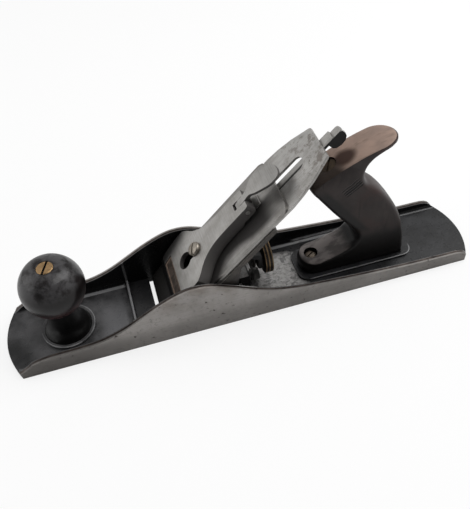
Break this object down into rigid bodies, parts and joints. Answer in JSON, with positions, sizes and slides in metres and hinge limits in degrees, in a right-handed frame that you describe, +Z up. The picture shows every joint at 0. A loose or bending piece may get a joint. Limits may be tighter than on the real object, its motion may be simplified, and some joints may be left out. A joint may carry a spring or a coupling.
{
  "type": "bench plane",
  "caption": "Fourteen-inch iron jack plane with ball knob, rear tote, iron and cap iron under a cam-locked lever cap, and wheel and lever adjusters.",
  "frame": {"origin": "centre of the sole, on the surface the plane rests on", "axes": "+X along the sole towards the heel, +Z up, +Y to the right of someone who holds the tote"},
  "size_m": [0.356, 0.062, 0.1298],
  "materials": {
    "japanned_casting": "black japanned inside, ground bare iron on sole, sides and edges",
    "knob_wood": "gloss varnish over dark hardwood",
    "tote_wood": "worn varnish over dark hardwood",
    "brass": "aged",
    "aged_brass": "dull and dark",
    "steel": "satin",
    "iron_steel": "ground, lightly spotted with rust",
    "frog_iron": "bare machined faces, dull",
    "lever_cap_iron": "satin, worn plating",
    "screw_steel": "browned"
  },
  "bodies": {
    "sole": {"body_casting": "japanned_casting", "knob": "knob_wood", "knob_rod": "steel", "knob_nut": "brass", "tote": "tote_wood", "tote_rod": "steel", "tote_nut": "brass", "tote_toe_screw": "screw_steel", "frog_screws": "screw_steel", "frog_screw_washers": "steel"},
    "frog": {"frog": "frog_iron", "yoke_pin": "steel", "lateral_pivot_rivet": "steel", "lever_cap_screw": "screw_steel", "frog_adjusting_clip": "steel", "frog_clip_screw": "screw_steel"},
    "frog_screw": {"frog_adjusting_screw": "screw_steel"},
    "stud": {"adjusting_stud": "steel"},
    "depth_wheel": {"depth_adjusting_wheel": "aged_brass"},
    "yoke": {"adjusting_yoke": "frog_iron"},
    "iron_carrier": {"cap_iron_screw": "screw_steel"},
    "irons": {"cutting_iron": "iron_steel", "cap_iron": "iron_steel"},
    "lateral": {"lateral_lever": "steel", "lateral_thumb_piece": "steel"},
    "lateral_roller": {"lateral_roller": "steel"},
    "lever_cap": {"lever_cap": "lever_cap_iron", "cam_lever_pin": "steel", "lever_cap_spring": "steel", "spring_rivet": "steel"},
    "cam_lever": {"cam_lever": "lever_cap_iron"}
  },
  "joints": [
    {"name": "frog_shift", "type": "slide", "parent": "sole", "child": "frog", "axis": [-1, 0, 0], "range_m": [-0.001, 0.001]},
    {"name": "frog_screw_turn", "type": "hinge", "parent": "frog", "child": "frog_screw", "pos_m": [0, 0, 0.0105], "axis": [-1, 0, 0], "range_deg": [-341, 341]},
    {"name": "iron_advance", "type": "slide", "parent": "frog", "child": "iron_carrier", "axis": [-0.7071, 0, -0.7071], "range_m": [-0.00138, 0.00138]},
    {"name": "wheel_turn", "type": "hinge", "parent": "frog", "child": "stud", "pos_m": [0, 0, 0.03], "axis": [-1, 0, 0], "range_deg": [-720, 720]},
    {"name": "wheel_travel", "type": "slide", "parent": "stud", "child": "depth_wheel", "axis": [1, 0, 0], "range_m": [-0.00212, 0.00212]},
    {"name": "yoke_swing", "type": "hinge", "parent": "frog", "child": "yoke", "pos_m": [-0.00615, 0, 0.04639], "axis": [0, -1, 0], "range_deg": [-7.4, 7.4]},
    {"name": "lateral_swing", "type": "hinge", "parent": "frog", "child": "lateral", "pos_m": [0.01337, 0, 0.07637], "axis": [-0.7071, 0, 0.7071], "range_deg": [-4.9, 4.9]},
    {"name": "iron_tilt", "type": "hinge", "parent": "iron_carrier", "child": "irons", "pos_m": [-0.00219, 0, 0.06081], "axis": [-0.7071, 0, 0.7071], "range_deg": [-1.1, 1.1]},
    {"name": "lateral_roller_turn", "type": "hinge", "parent": "lateral", "child": "lateral_roller", "pos_m": [0.01054, 0, 0.07354], "axis": [-0.7071, 0, 0.7071], "continuous": true},
    {"name": "lever_cap_slide", "type": "slide", "parent": "frog", "child": "lever_cap", "axis": [0.7071, 0, 0.7071], "range_m": [0, 0.012]},
    {"name": "cam_lever_lift", "type": "hinge", "parent": "lever_cap", "child": "cam_lever", "pos_m": [0.00467, 0, 0.08365], "axis": [0, -1, 0], "range_deg": [0, 95]}
  ],
  "couplings": [
    {"joint": "frog_screw_turn", "follows": "frog_shift", "rad_per_m": 5936.9},
    {"joint": "wheel_turn", "follows": "iron_advance", "rad_per_m": 9049.4},
    {"joint": "wheel_travel", "follows": "iron_advance", "ratio": 1.5243},
    {"joint": "yoke_swing", "follows": "iron_advance", "rad_per_m": 93.023},
    {"joint": "iron_tilt", "follows": "lateral_swing", "ratio": -0.22222}
  ]
}
